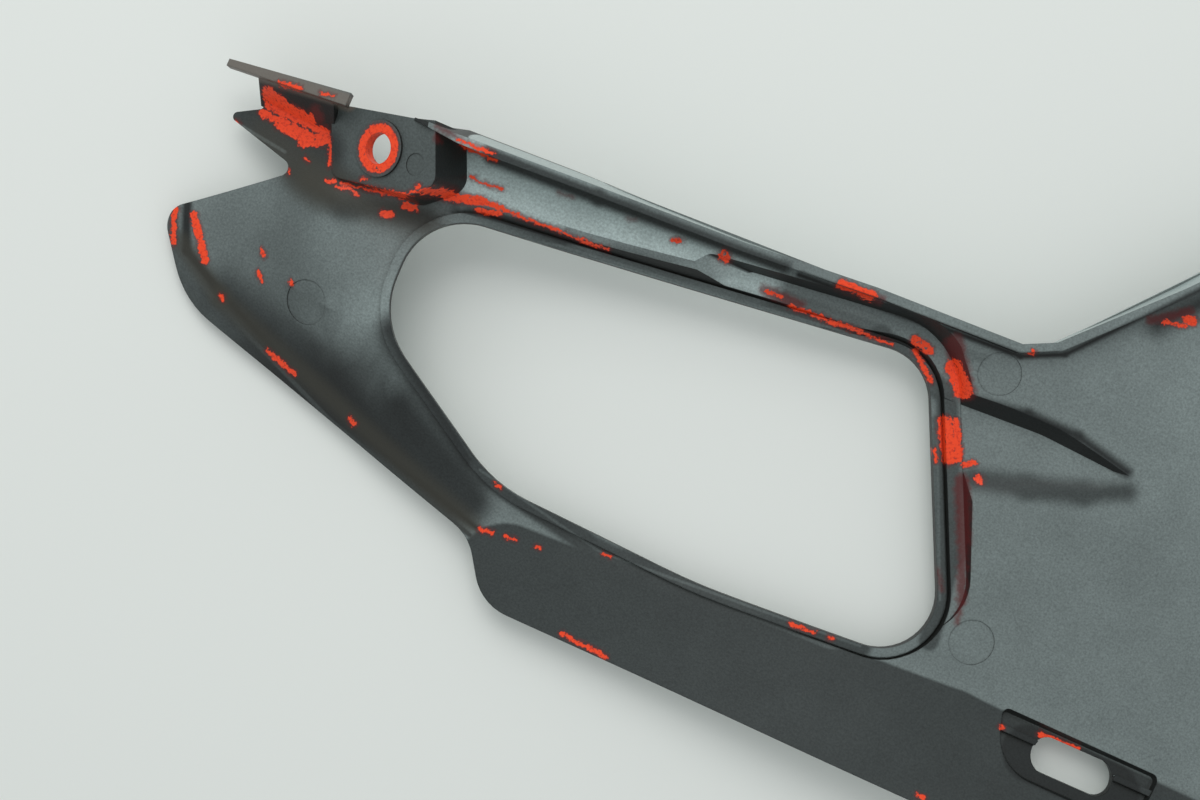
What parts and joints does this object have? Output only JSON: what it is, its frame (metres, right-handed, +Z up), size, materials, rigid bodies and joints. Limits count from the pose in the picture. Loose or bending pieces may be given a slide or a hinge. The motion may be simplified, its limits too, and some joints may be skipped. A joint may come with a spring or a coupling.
{
  "type": "lower fairing panel",
  "caption": "Moulded lower fairing panel with a large rimmed window, channelled top edge with a flange, raised screw pad, hooked end bar and a slotted lower strip.",
  "frame": {"origin": "middle of the panel's bounding box in plan, on the surface the panel lies on", "axes": "+X along the panel from the narrow nose to the wide tail, +Y from the lower strip to the flanged top edge, +Z up out of the panel's inner face"},
  "size_m": [0.4482, 0.2082, 0.0431],
  "materials": {
    "fairing_panel": "dark gunmetal satin overspray on the inside over red-orange plastic, worn through at edges"
  },
  "bodies": {
    "root": {"fairing_panel": "fairing_panel"}
  },
  "joints": []
}
